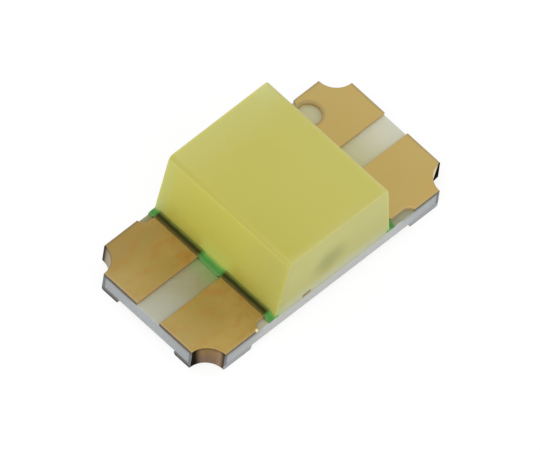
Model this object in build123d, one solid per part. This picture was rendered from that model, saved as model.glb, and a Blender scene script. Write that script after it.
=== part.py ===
from build123d import *
import os
from math import atan2, degrees, hypot, radians, tan

# Four-terminal chip LED. All sizes are in millimetres, the underside of the solder pads is at
# Z = 0, X runs along the board and +X is the end that carries the dies and the polarity mark.

# Board
board_length = 3.2
board_width = 1.6
core_thickness = 0.16
land_thickness = 0.04
pad_thickness = 0.06

# Plated notch at each corner, a quarter of one drilled and plated hole
hole_radius = 0.25
plating_thickness = 0.035

# Solder lands on the top face
land_gap = 0.30
land_edge_margin = 0.075
left_land_edge_run = 0.645
right_land_edge_run = 0.54
polarity_hole_radius = 0.125
polarity_hole_from_end = 0.54
polarity_hole_from_edge = 0.20

# Solder pads on the underside
pad_length = 0.58
pad_width = 0.43

# Copper under the lens
die_row_spacing = 0.94
die_pad_margin = 0.05
die_pad_corner = 0.04
finger_width = 0.18
finger_gap = 0.15
tie_bar_width = 0.107
tie_bar_from_tip = 0.065

# Solder mask
mask_thickness = 0.02
mask_over_board = 0.03
mask_visible = 0.08
mask_under_lens = 0.04
mask_flow = 0.06
mask_cover = 0.01
mask_round = 0.04
mark_length = 0.50
mark_width = 0.44
mark_corner = 0.03

# Lens, centred between the two ends of the board that it leaves bare
bare_end_length = 0.86
lens_height = 0.75
lens_draft = 7.4
lens_edge_radius = 0.05

# Light-emitting dies
die_length = 0.28
die_width = 0.24
die_thickness = 0.11
die_from_centre = 0.075
die_ledge_margin = 0.01
die_ledge_depth = 0.006
attach_thickness = 0.01
attach_border = 0.03
attach_climb = 0.035
contact_radius = 0.034
contact_thickness = 0.004
contact_from_side = 0.05

# Bond wires
wire_diameter = 0.025
wire_sides = 8
ball_radius = 0.03
ball_height = 0.02
ball_bevel = 0.007
loop_height = 0.12
loop_sag = 0.02
loop_bend_radius = 0.05
loop_knee = 0.55
stitch_length = 0.07
stitch_width = 0.045
stitch_thickness = 0.008
anode_landing_from_tip = 0.12
cathode_landing_from_die = 0.16

# Levels and places that follow from the sizes above
half_length = board_length / 2
half_width = board_width / 2
core_bottom = pad_thickness
core_top = core_bottom + core_thickness
land_top = core_top + land_thickness
mask_top = land_top + mask_thickness
notch_radius = hole_radius - plating_thickness
land_side = half_width - land_edge_margin
lens_foot = half_length - bare_end_length
mask_outer = lens_foot + mask_visible
mask_inner = lens_foot - mask_under_lens
row_y = die_row_spacing / 2
die_low_x = die_from_centre - die_length / 2
die_high_x = die_from_centre + die_length / 2
die_pad_tip = die_low_x - die_pad_margin
finger_tip = finger_gap - die_pad_tip
die_bottom = land_top + attach_thickness
die_top = die_bottom + die_thickness


def rectangle(x_from, x_to, y_from, y_to):
    """Flat rectangle between two opposite corners."""
    centre = Pos((x_from + x_to) / 2, (y_from + y_to) / 2)
    return centre * Rectangle(x_to - x_from, y_to - y_from)


def slab(outline, z_from, z_to):
    """Plane outline raised between two heights."""
    return extrude(Pos(0, 0, z_from) * outline, z_to - z_from)


def make_core():
    """Fibre-glass board with a quarter of a drilled hole taken out of each corner."""
    outline = Rectangle(board_length, board_width)
    outline -= GridLocations(board_length, board_width, 2, 2) * Circle(hole_radius)
    return slab(outline, core_bottom, core_top)


def land_outline(edge_run):
    """Top land of the +X +Y corner, back to where the lens covers it.

    The copper follows the long edge of the board for edge_run and then steps in from it
    round a quarter circle.
    """
    land = rectangle(mask_inner, half_length, land_gap / 2, half_width)
    relief_end = half_length - edge_run - land_edge_margin
    relief = rectangle(0, relief_end, land_side, half_width)
    relief += Pos(relief_end, half_width) * Circle(land_edge_margin)
    return land - relief


def die_pad_outline():
    """Copper that carries one die and its cathode wire, from the land in under the lens."""
    side = die_width / 2 + die_pad_margin
    pad = rectangle(die_pad_tip, mask_inner, row_y - side, row_y + side)
    tip_corners = pad.vertices().group_by(Axis.X)[0]
    return fillet(tip_corners, min(die_pad_corner, 0.9 * side))


def finger_outline():
    """Copper finger that takes one anode wire, with the tie bar that was sawn at the edge."""
    side = finger_width / 2
    finger = rectangle(finger_tip + side, mask_inner, row_y - side, row_y + side)
    finger += Pos(finger_tip + side, row_y) * Circle(side)
    bar_low = finger_tip + tie_bar_from_tip - tie_bar_width / 2
    bar = rectangle(bar_low, bar_low + tie_bar_width, row_y, half_width)
    return finger + bar


def make_terminal(edge_run, inner_copper, has_polarity_hole):
    """One terminal in the +X +Y corner: land, quarter barrel, solder pad and inner copper."""
    corner = Pos(half_length, half_width)
    top = land_outline(edge_run) + inner_copper - corner * Circle(notch_radius)
    if has_polarity_hole:
        hole_x = half_length - polarity_hole_from_end
        hole_y = half_width - polarity_hole_from_edge
        top -= Pos(hole_x, hole_y) * Circle(polarity_hole_radius)
    barrel = corner * (Circle(hole_radius) - Circle(notch_radius))
    barrel &= rectangle(0, half_length, 0, half_width)
    pad = rectangle(half_length - pad_length, half_length, half_width - pad_width, half_width)
    pad -= corner * Circle(notch_radius)
    terminal = slab(top, core_top, land_top)
    terminal += slab(barrel, 0, land_top)
    terminal += slab(pad, 0, pad_thickness)
    return terminal


def mask_profile():
    """Cross-section of a mask strip, drawn with the board's width across and Z up.

    The mask lies level over the lands and sinks where there is only bare board below it:
    between the two lands and along each sawn edge.
    """
    low = core_top + mask_over_board
    gap_top = land_gap / 2 + mask_cover
    gap_low = gap_top - mask_flow
    edge_top = land_side - mask_cover
    edge_low = edge_top + mask_flow
    half_line = [(gap_low, low), (gap_top, mask_top), (edge_top, mask_top), (edge_low, low)]
    line = [(-half_width, low)]
    line += [(-y, z) for y, z in reversed(half_line)]
    line += half_line
    line += [(half_width, low)]
    surface = FilletPolyline(*line, radius=mask_round)
    base = Polyline(surface @ 1, (half_width, core_top), (-half_width, core_top), surface @ 0)
    return make_face(surface + base)


def make_mask(terminals):
    """Solder-mask strip of the +X end, seated round the two lands that it crosses."""
    strip = extrude(Plane.YZ.offset(mask_inner) * mask_profile(), mask_outer - mask_inner)
    for terminal in terminals:
        strip -= terminal
    return strip


def make_underside_mark():
    """Triangle of solder mask between the solder pads, its tip towards the marked end."""
    tip = (mark_length / 2, 0)
    tail_back = (-mark_length / 2, mark_width / 2)
    tail_front = (-mark_length / 2, -mark_width / 2)
    outline = make_face(Polyline(tip, tail_back, tail_front, close=True))
    outline = fillet(outline.vertices(), mark_corner)
    return slab(outline, core_bottom - mask_thickness, core_bottom)


def make_die():
    """Die of the back row, with the quarter-round ledge that its cathode contact sits on."""
    outline = rectangle(die_low_x, die_high_x, row_y - die_width / 2, row_y + die_width / 2)
    die = slab(outline, die_bottom, die_top)
    ledge_radius = hypot(contact_from_side, contact_from_side) + contact_radius + die_ledge_margin
    ledge = Pos(die_high_x, row_y - die_width / 2) * Circle(ledge_radius)
    die -= slab(ledge, die_top - die_ledge_depth, die_top)
    return die


def make_attach(die):
    """Adhesive under one die, climbing a little way up its four sides."""
    length = die_length + 2 * attach_border
    width = die_width + 2 * attach_border
    height = attach_thickness + attach_climb
    slope = degrees(atan2(attach_border, height))
    outline = Pos(die_from_centre, row_y, land_top) * Rectangle(length, width)
    return extrude(outline, height, taper=slope) - die


def anode_contact_place():
    """Centre of the anode contact on the die's top face."""
    side = row_y + die_width / 2 - contact_from_side
    return Vector(die_low_x + contact_from_side, side, die_top)


def cathode_contact_place():
    """Centre of the cathode contact on the die's ledge."""
    side = row_y - die_width / 2 + contact_from_side
    return Vector(die_high_x - contact_from_side, side, die_top - die_ledge_depth)


def make_contact(place):
    """Metal contact disc on a die."""
    disc = Pos(place.X, place.Y) * Circle(contact_radius)
    return slab(disc, place.Z, place.Z + contact_thickness)


def loop_bends(points):
    """Bend radius at each inner point of a loop, limited by the two runs that meet there."""
    radii = []
    for before, here, after in zip(points, points[1:], points[2:]):
        run_in = Vector(*here) - Vector(*before)
        run_out = Vector(*after) - Vector(*here)
        half_turn = radians(run_in.get_angle(run_out)) / 2
        room = 0.45 * min(run_in.length, run_out.length) / tan(half_turn)
        radii.append(min(loop_bend_radius, room))
    return radii


def make_wire(contact, landing):
    """Gold wire from the ball on a die's contact, over its loop, to the stitch on the copper."""
    across = landing - contact
    reach = hypot(across.X, across.Y)
    base = Vector(contact.X, contact.Y, contact.Z + contact_thickness)
    loop_plane = Plane(base, x_dir=(across.X, across.Y, 0), z_dir=(across.Y, -across.X, 0))
    loop_top = ball_height + loop_height
    route = [
        (0, ball_height / 2),
        (0, loop_top),
        (loop_knee * reach, loop_top - loop_sag),
        (reach, landing.Z - base.Z),
    ]
    path = loop_plane * FilletPolyline(*route, radius=loop_bends(route))
    section = Plane(path @ 0, z_dir=path % 0) * RegularPolygon(wire_diameter / 2, wire_sides)
    wire = sweep(section, path=path)
    ball = Pos(base.X, base.Y, base.Z + ball_height / 2) * Cylinder(ball_radius, ball_height)
    wire += chamfer(ball.edges().filter_by(GeomType.CIRCLE), ball_bevel)
    turn = Rot(0, 0, degrees(atan2(across.Y, across.X)))
    foot = Pos(landing.X, landing.Y) * turn * Ellipse(stitch_length / 2, stitch_width / 2)
    wire += slab(foot, landing.Z, landing.Z + stitch_thickness)
    return split(wire, Plane.XY.offset(landing.Z), keep=Keep.TOP)


def make_lens(buried):
    """Encapsulant block: drafted ends, sawn sides, moulded round everything it covers."""
    slope = tan(radians(lens_draft))
    bottom = lens_foot + land_thickness * slope
    top = lens_foot - lens_height * slope
    lens_top = land_top + lens_height
    corners = [(-bottom, core_top), (bottom, core_top), (top, lens_top), (-top, lens_top)]
    profile = make_face(Polyline(*corners, close=True))
    profile = fillet(profile.vertices().group_by(Axis.Y)[-1], lens_edge_radius)
    lens = extrude(Plane.XZ * profile, half_width, both=True)
    for piece in buried:
        lens -= piece
    return lens


def front(shape):
    """The same piece in the front row."""
    return mirror(shape, Plane.XZ)


def left(shape):
    """The same piece at the left end."""
    return mirror(shape, Plane.YZ)


def make_nodes():
    """All pieces of the part by name, each one seated on what carries it."""
    nodes = {"laminate_core": make_core()}

    back_left = left(make_terminal(left_land_edge_run, finger_outline(), False))
    nodes["terminal_back_left"] = back_left
    nodes["terminal_front_left"] = front(back_left)
    nodes["terminal_back_right"] = make_terminal(right_land_edge_run, die_pad_outline(), True)
    plain_right = make_terminal(right_land_edge_run, die_pad_outline(), False)
    nodes["terminal_front_right"] = front(plain_right)

    right_mask = make_mask([plain_right, front(plain_right)])
    nodes["solder_mask_right"] = right_mask
    nodes["solder_mask_left"] = left(make_mask([left(back_left), left(front(back_left))]))
    nodes["underside_mark"] = make_underside_mark()

    die = make_die()
    anode = anode_contact_place()
    cathode = cathode_contact_place()
    finger_landing = Vector(-finger_tip - anode_landing_from_tip, row_y, land_top)
    pad_landing = Vector(die_high_x + cathode_landing_from_die, row_y, land_top)
    back_row = {
        "led_die": die,
        "die_attach": make_attach(die),
        "anode_contact": make_contact(anode),
        "cathode_contact": make_contact(cathode),
        "anode_wire": make_wire(anode, finger_landing),
        "cathode_wire": make_wire(cathode, pad_landing),
    }
    for name, shape in back_row.items():
        nodes[f"{name}_back"] = shape
        nodes[f"{name}_front"] = front(shape)

    buried = [shape for name, shape in nodes.items() if name != "laminate_core"]
    nodes["lens"] = make_lens(buried)
    return nodes


os.makedirs("parts", exist_ok=True)
for node_name, node_shape in make_nodes().items():
    node_shape.label = node_name
    export_step(node_shape, f"parts/{node_name}.step")
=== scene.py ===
"""Looks of a four-terminal chip LED: milky lens, gold terminals, green mask and sawn board.

Pieces are drawn in millimetres and scaled to metres when they are finished. Every piece is drawn
in the corner at +X and +Y and mirrored to the corner where it belongs.
"""

import logging
import math
from collections.abc import Sequence
from dataclasses import dataclass, field
from enum import Enum

import bmesh
import bpy
from mathutils import Matrix, Vector


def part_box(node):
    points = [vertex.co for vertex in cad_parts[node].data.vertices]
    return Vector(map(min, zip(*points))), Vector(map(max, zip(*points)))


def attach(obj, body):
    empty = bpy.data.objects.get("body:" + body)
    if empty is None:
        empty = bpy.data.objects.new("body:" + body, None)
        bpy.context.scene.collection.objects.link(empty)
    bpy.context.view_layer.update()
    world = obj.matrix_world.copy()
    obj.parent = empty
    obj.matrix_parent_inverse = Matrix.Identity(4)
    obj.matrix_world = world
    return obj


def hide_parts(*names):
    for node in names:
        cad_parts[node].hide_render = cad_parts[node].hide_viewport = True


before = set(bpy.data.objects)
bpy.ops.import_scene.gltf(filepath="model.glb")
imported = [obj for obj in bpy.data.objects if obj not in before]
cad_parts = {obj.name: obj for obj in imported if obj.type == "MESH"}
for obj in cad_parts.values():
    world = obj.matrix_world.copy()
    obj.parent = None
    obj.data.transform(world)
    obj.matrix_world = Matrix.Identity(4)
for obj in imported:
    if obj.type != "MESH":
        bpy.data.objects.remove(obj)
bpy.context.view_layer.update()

LOG = logging.getLogger("chip_led")
MM = 0.001
BODY = "root"
SMOOTH_ANGLE = math.radians(35)
SHARP_ANGLE = math.radians(60)
PLANE_ANGLE = math.radians(0.5)
FLAT_AREA = 0.02
WELD = 1e-5
CLOSE = 1e-4
PRINCIPLED = "ShaderNodeBsdfPrincipled"
Colour = tuple[float, float, float]


def display(red: int, green: int, blue: int) -> Colour:
    """Turn a colour as a screen shows it, 0 to 255, into the linear colour that shaders use.

    Args:
        red: Red as displayed.
        green: Green as displayed.
        blue: Blue as displayed.

    Returns:
        The linear red, green and blue, 0 to 1.
    """
    def linear(level: float) -> float:
        """Undo the display curve for one channel."""
        return level / 12.92 if level <= 0.04045 else ((level + 0.055) / 1.055) ** 2.4

    return (linear(red / 255), linear(green / 255), linear(blue / 255))


# Colour of the painted glint: a near-white highlight laid on the front left land.
PAINTED_GLINT = display(252, 244, 210)


def node_box(name: str) -> tuple[Vector, Vector]:
    """Lowest and highest corner of a CAD node in millimetres."""
    low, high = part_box(name)
    return low / MM, high / MM


class End(Enum):
    """End of the board, with the side of the X axis that it lies on."""

    LEFT = -1
    RIGHT = 1


class Row(Enum):
    """Long side of the board, with the side of the Y axis that it lies on."""

    FRONT = -1
    BACK = 1


@dataclass(frozen=True)
class Band:
    """Stretch of a distance over which a tint comes in or dies out, and its share at the fullest."""

    start: float
    end: float
    strength: float = 1.0


class Socket:
    """A shader socket that takes part in plain arithmetic."""

    def __init__(self, graph: "Nodes", link: bpy.types.NodeSocket) -> None:
        """Wrap one output socket of a node tree."""
        self.graph = graph
        self.link = link

    def _math(self, operation: str, *values: "Socket | float") -> "Socket":
        """Add one Math node.

        Args:
            operation: The Math node's operation.
            values: Its inputs in order.

        Returns:
            The node's result.
        """
        made = self.graph.node("ShaderNodeMath", {"operation": operation}, dict(enumerate(values)))
        return Socket(self.graph, made.outputs[0])

    def __add__(self, other: "Socket | float") -> "Socket":
        """Sum with a socket or number."""
        return self._math("ADD", self, other)

    def __sub__(self, other: "Socket | float") -> "Socket":
        """Difference with a socket or number."""
        return self._math("SUBTRACT", self, other)

    def __rsub__(self, other: float) -> "Socket":
        """Number less this socket."""
        return self._math("SUBTRACT", other, self)

    def __mul__(self, other: "Socket | float") -> "Socket":
        """Product with a socket or number."""
        return self._math("MULTIPLY", self, other)

    def __truediv__(self, other: "Socket | float") -> "Socket":
        """Quotient with a socket or number."""
        return self._math("DIVIDE", self, other)

    def __neg__(self) -> "Socket":
        """Opposite number."""
        return self._math("MULTIPLY", self, -1.0)

    def __abs__(self) -> "Socket":
        """Size without its sign."""
        return self._math("ABSOLUTE", self)

    def __pow__(self, other: "Socket | float") -> "Socket":
        """Power."""
        return self._math("POWER", self, other)

    def least(self, other: "Socket | float") -> "Socket":
        """Smaller of two values."""
        return self._math("MINIMUM", self, other)

    def most(self, other: "Socket | float") -> "Socket":
        """Larger of two values."""
        return self._math("MAXIMUM", self, other)

    def rise(self, low: float, high: float) -> "Socket":
        """Smooth step from 0 at low to 1 at high.

        Args:
            low: Value at which the step starts.
            high: Value at which the step ends.

        Returns:
            The step, 0 to 1.
        """
        made = self.graph.node(
            "ShaderNodeMapRange",
            {"interpolation_type": "SMOOTHSTEP", "clamp": True},
            {"Value": self, "From Min": low, "From Max": high, "To Min": 0.0, "To Max": 1.0},
        )
        return Socket(self.graph, made.outputs[0])

    def fall(self, low: float, high: float) -> "Socket":
        """Smooth step from 1 at low to 0 at high."""
        return 1.0 - self.rise(low, high)

    def beyond(self, band: Band) -> "Socket":
        """Share of a tint that comes in along a band."""
        return self.rise(band.start, band.end) * band.strength

    def before(self, band: Band) -> "Socket":
        """Share of a tint that dies out along a band."""
        return self.fall(band.start, band.end) * band.strength

    def swing(self, amount: float) -> "Socket":
        """Noise about 0.5 turned into a change to both sides of 0."""
        return (self - 0.5) * amount

    def sine(self) -> "Socket":
        """Sine of an angle in radians."""
        return self._math("SINE", self)

    __radd__ = __add__
    __rmul__ = __mul__


class Nodes:
    """Node tree that starts empty and is built from expressions."""

    def __init__(self, tree: bpy.types.NodeTree) -> None:
        """Empty the tree."""
        self.tree = tree
        tree.nodes.clear()

    def node(self, kind: str, settings: dict | None = None, inputs: dict | None = None) -> bpy.types.Node:
        """Add one node.

        Args:
            kind: The node's type.
            settings: Its properties, such as a Math node's operation, which are set first.
            inputs: Values or links of its sockets, by name or number.

        Returns:
            The new node.
        """
        made = self.tree.nodes.new(kind)
        for key, value in (settings or {}).items():
            setattr(made, key, value)
        for key, value in (inputs or {}).items():
            socket = made.inputs[key]
            source = value.link if isinstance(value, Socket) else value
            if isinstance(source, bpy.types.NodeSocket):
                self.tree.links.new(source, socket)
            elif socket.type == "RGBA":
                socket.default_value = (*source, 1.0)
            else:
                socket.default_value = source
        return made


class Graph(Nodes):
    """Node tree of one material, with the place on the piece in millimetres at hand."""

    def __init__(self, name: str) -> None:
        """Start an empty material with this name."""
        self.material = bpy.data.materials.new(name)
        self.material.use_nodes = True
        super().__init__(self.material.node_tree)
        spot = self.node("ShaderNodeTexCoord").outputs["Object"]
        scaled = self.node("ShaderNodeMapping", inputs={"Vector": spot, "Scale": (1 / MM,) * 3})
        self.place = scaled.outputs["Vector"]
        parts = self.node("ShaderNodeSeparateXYZ", inputs={"Vector": self.place})
        self.x, self.y, self.z = (Socket(self, parts.outputs[i]) for i in range(3))

    def noise(self, size: float, detail: float = 2.0, stretch: Sequence[float] = (1, 1, 1),
              shift: float = 0.0) -> Socket:
        """Cloudy noise.

        Args:
            size: Width of one cloud in millimetres.
            detail: Octaves of finer noise.
            stretch: How much longer a cloud is along each axis.
            shift: Distance by which the pattern is moved, so that two noises differ.

        Returns:
            The noise, about 0.5 on average.
        """
        scale = tuple(1 / (size * times) for times in stretch)
        turned = self.node(
            "ShaderNodeMapping", inputs={"Vector": self.place, "Scale": scale, "Location": (shift,) * 3}
        )
        made = self.node(
            "ShaderNodeTexNoise",
            inputs={"Vector": turned.outputs["Vector"], "Scale": 1.0, "Detail": detail},
        )
        return Socket(self, made.outputs["Fac"])

    def cells(self, size: float, stretch: Sequence[float] = (1, 1, 1)) -> Socket:
        """Distance to the nearest of many scattered points, 0 at each point.

        Args:
            size: Mean distance between the points in millimetres.
            stretch: How much further apart they are along each axis.

        Returns:
            The distance, in units of size.
        """
        scale = tuple(1 / (size * times) for times in stretch)
        turned = self.node("ShaderNodeMapping", inputs={"Vector": self.place, "Scale": scale})
        place = turned.outputs["Vector"]
        made = self.node("ShaderNodeTexVoronoi", inputs={"Vector": place, "Scale": 1.0})
        return Socket(self, made.outputs["Distance"])

    def mix(self, share: Socket, first: "Socket | Colour", second: "Socket | Colour") -> Socket:
        """Blend of two colours, the second where share is 1."""
        made = self.node("ShaderNodeMix", {"data_type": "RGBA"}, {0: share, 6: first, 7: second})
        return Socket(self, made.outputs[2])

    def paint(self, base: "Socket | Colour", *coats: "tuple[Socket, Socket | Colour]") -> "Socket | Colour":
        """Lay tints over a colour.

        Args:
            base: The colour underneath.
            coats: For each tint the share in which it covers what is under it, and the tint.

        Returns:
            The colour with all tints on it.
        """
        for share, tint in coats:
            base = self.mix(share, base, tint)
        return base

    def distance(self, centre: Sequence[float], reach: Sequence[float]) -> Socket:
        """Distance from a place.

        Args:
            centre: The place in millimetres.
            reach: What counts as 1 along each axis in millimetres.

        Returns:
            The distance.
        """
        total: Socket | float = 0.0
        for axis, middle, half in zip((self.x, self.y, self.z), centre, reach):
            away = (axis - middle) / half
            total = away * away + total
        return total ** 0.5

    def hill(self, centre: Sequence[float], reach: Sequence[float], ragged: Socket) -> Socket:
        """Round soft spot.

        Args:
            centre: Middle of the spot in millimetres.
            reach: Half-width of the spot along each axis in millimetres.
            ragged: What is added to the distance from the middle, where 1 is the spot's edge.

        Returns:
            1 in the middle, falling smoothly to 0 at the spot's edge.
        """
        return (self.distance(centre, reach) + ragged).fall(0.0, 1.0)

    def bump(self, height: Socket, depth: float) -> bpy.types.NodeSocket:
        """Surface relief.

        Args:
            height: The relief, 0 to 1.
            depth: Its depth in millimetres.

        Returns:
            The normal for a shader.
        """
        made = self.node("ShaderNodeBump", inputs={"Height": height, "Distance": depth * MM})
        return made.outputs["Normal"]

    def finish(self, shader: str, inputs: dict) -> bpy.types.Material:
        """Close the material with one shader.

        Args:
            shader: Type of the shader node.
            inputs: Values or links of its sockets.

        Returns:
            The finished material.
        """
        made = self.node(shader, inputs=inputs)
        self.node("ShaderNodeOutputMaterial", inputs={"Surface": made.outputs[0]})
        return self.material


@dataclass(frozen=True)
class MilkyResin:
    """Encapsulant: yellow and milky, with what lies under it showing softly through as painted glows of
    gold, mask and board and as a painted shade of each die.
    """

    body: Colour = display(188, 182, 82)
    deep: Colour = display(178, 173, 68)
    pale: Colour = display(198, 198, 130)
    end_lit_tone: Colour = display(199, 194, 86)
    end_rim: Colour = display(188, 202, 134)
    end_front: Colour = display(182, 177, 98)
    end_between: Colour = display(202, 209, 101)
    saw_rim: Colour = display(185, 181, 101)
    saw_bevel_shade: Colour = display(168, 164, 84)
    sawn_left: Colour = display(178, 174, 98)
    left_edge_shade: Colour = display(176, 171, 76)
    right_edge_highlight: Colour = display(198, 190, 116)
    sawn: Colour = display(192, 190, 115)
    sawn_low: Colour = display(185, 182, 110)
    # Painted glows of what lies under the resin, and a die's painted shade.
    board_glow: Colour = display(190, 193, 166)
    gold_glow: Colour = display(172, 152, 52)
    mask_glow: Colour = display(146, 190, 90)
    die_shade: Colour = display(136, 137, 76)
    roughness: float = 0.5
    scatter: float = 0.35
    scatter_reach: Colour = (0.16, 0.13, 0.05)
    paler_right: Band = Band(-0.5, 0.9, 0.22)
    paler_back: Band = Band(0.3, 0.85, 0.4)
    corner_right: Band = Band(0.3, 0.65, 0.4)
    corner_back: Band = Band(0.5, 0.8)
    deeper_left: Band = Band(-0.8, 0.1, 0.6)
    deeper_front: Band = Band(-0.5, 0.5)
    beside_saw: Band = Band(0.7, 0.8)
    rim_width: float = 0.2
    rim_along: Band = Band(-0.4, 0.4, 0.6)
    rim_up: Band = Band(0.0, 0.3, 0.5)
    rim_least: float = 0.35
    over_land: Band = Band(-0.02, 0.1)
    off_land: Band = Band(-0.03, 0.1)
    towards_front: Band = Band(0.1, 0.7, 0.5)
    gold_up: Band = Band(-0.05, 0.34, 0.47)
    clear_up: Band = Band(0.05, 0.3, 0.9)
    mask_up: Band = Band(0.0, 0.09)
    mask_line: Band = Band(0.0, 0.06, 0.35)
    sawn_up: Band = Band(0.1, 0.62)
    sawn_end: Band = Band(-0.72, -0.5, 0.6)
    board_up: Band = Band(-0.02, 0.2, 0.75)
    corner_up: Band = Band(0.0, 0.2, 0.6)
    corner_width: float = 0.16
    die_reach: tuple[float, float, float] = (0.32, 0.3, 0.26)
    die_strength: float = 0.56
    upper_edge: Band = Band(-0.06, -0.016, 0.55)
    end_skin: float = 0.007
    skin: float = 0.0005

    def top_tint(self, graph: Graph) -> Socket:
        """Colour of the moulded top, paler to the right and along its edges.

        Args:
            graph: The lens's material.

        Returns:
            The colour.
        """
        share = graph.x.beyond(self.paler_right) + graph.y.beyond(self.paler_back)
        share = share + graph.x.beyond(self.corner_right) * graph.y.beyond(self.corner_back)
        share = share + graph.noise(0.55, detail=3.0).swing(0.24)
        deeper = graph.x.before(self.deeper_left) * graph.y.before(self.deeper_front)
        return graph.paint(
            self.body,
            (share.most(0.0), self.pale),
            (deeper, self.deep),
            ((-graph.y).beyond(self.beside_saw), self.saw_rim),
        )

    def end_tint(self, graph: Graph, lens: "Lens", foot: Socket) -> Socket:
        """Colour of a moulded end, with gold and green showing through above the board.

        Args:
            graph: The lens's material.
            lens: The lens.
            foot: Height above the board.

        Returns:
            The colour.
        """
        across = abs(graph.y)
        rim = across.rise(lens.half_width - self.rim_width, lens.half_width)
        rim = rim * (graph.y.beyond(self.rim_along) + (1.0 - self.rim_along.strength))
        past_gap = across - lens.gap_half
        between = past_gap.before(self.off_land)
        uneven = foot + graph.noise(0.22, detail=3.0, shift=5.0).swing(0.3)
        glow = uneven.before(self.gold_up) * past_gap.beyond(self.over_land) * (1.0 - rim)
        green = (foot.before(self.mask_up) * between).most(foot.before(self.mask_line))
        return graph.paint(
            # The end face's own resin colour, painted lighter than the top's to stand in for the light that
            # falls on it.
            self.end_lit_tone,
            (rim * (foot.before(self.rim_up) + self.rim_least), self.end_rim),
            ((-graph.y).beyond(self.towards_front), self.end_front),
            (glow, self.gold_glow),
            (foot.before(self.clear_up) * between, self.end_between),
            (green, self.mask_glow),
        )

    def sawn_tint(self, graph: Graph, lens: "Lens", foot: Socket) -> Socket:
        """Colour of a sawn side, with the board glowing at its foot and a die as a shade.

        Args:
            graph: The lens's material.
            lens: The lens.
            foot: Height above the board.

        Returns:
            The colour.
        """
        cloud = graph.noise(0.4, detail=3.0, shift=2.0)
        lower = foot.before(self.sawn_up) + cloud.swing(0.5)
        uneven = foot + graph.noise(0.3, stretch=(2, 1, 1), shift=7.0).swing(0.1)
        corner = abs(graph.x).rise(lens.foot_half - self.corner_width, lens.foot_half)
        places = [(lens.die_x, row.value * lens.half_width, lens.die_height) for row in Row]
        spots = [graph.hill(place, self.die_reach, cloud.swing(0.9)) for place in places]
        return graph.paint(
            self.sawn,
            (lower.most(0.0).least(1.0), self.sawn_low),
            (graph.x.before(self.sawn_end), self.sawn_left),
            (uneven.before(self.board_up), self.board_glow),
            (foot.before(self.corner_up) * corner, self.mask_glow),
            *((spot * self.die_strength, self.die_shade) for spot in spots),
        )

    def material(self, lens: "Lens") -> bpy.types.Material:
        """Dress the lens.

        Args:
            lens: The lens, whose faces and surroundings place the tints.

        Returns:
            The material.
        """
        graph = Graph("milky_resin")
        foot = graph.z - lens.board_top
        sawn = abs(graph.y).rise(lens.half_width - lens.saw_round, lens.half_width - self.skin)
        past_end = abs(graph.x) + foot * lens.slope - lens.foot_half
        # Painted shade on the rounded top edge at the left end, fading to a painted highlight on it at the
        # right end.
        edge = graph.mix(graph.x.rise(-0.1, 0.1), self.left_edge_shade, self.right_edge_highlight)
        colour = graph.paint(
            self.top_tint(graph),
            (past_end.beyond(self.upper_edge), edge),
            (past_end.rise(-self.end_skin, -self.skin), self.end_tint(graph, lens, foot)),
            (sawn, self.sawn_tint(graph, lens, foot)),
            # Painted shade on the bevel of the sawn edges, which holds down its highlight.
            (sawn * (1.0 - sawn) * 3.2, self.saw_bevel_shade),
        )
        grain = graph.noise(0.02) * (1.0 - sawn)
        lines = graph.noise(0.006, detail=1.0, stretch=(60, 60, 1), shift=3.0) * sawn
        pits = graph.cells(0.05).fall(0.0, 0.22) * sawn
        smudge = graph.noise(0.4, detail=3.0, shift=11.0)
        return graph.finish(PRINCIPLED, {
            "Base Color": colour,
            "Roughness": smudge.swing(0.16) + self.roughness + sawn * 0.1,
            "Subsurface Weight": self.scatter,
            "Subsurface Radius": self.scatter_reach,
            "Subsurface Scale": MM,
            "Normal": graph.bump(grain * 0.35 + lines * 0.8 - pits * 0.9, 0.0012),
        })


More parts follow.
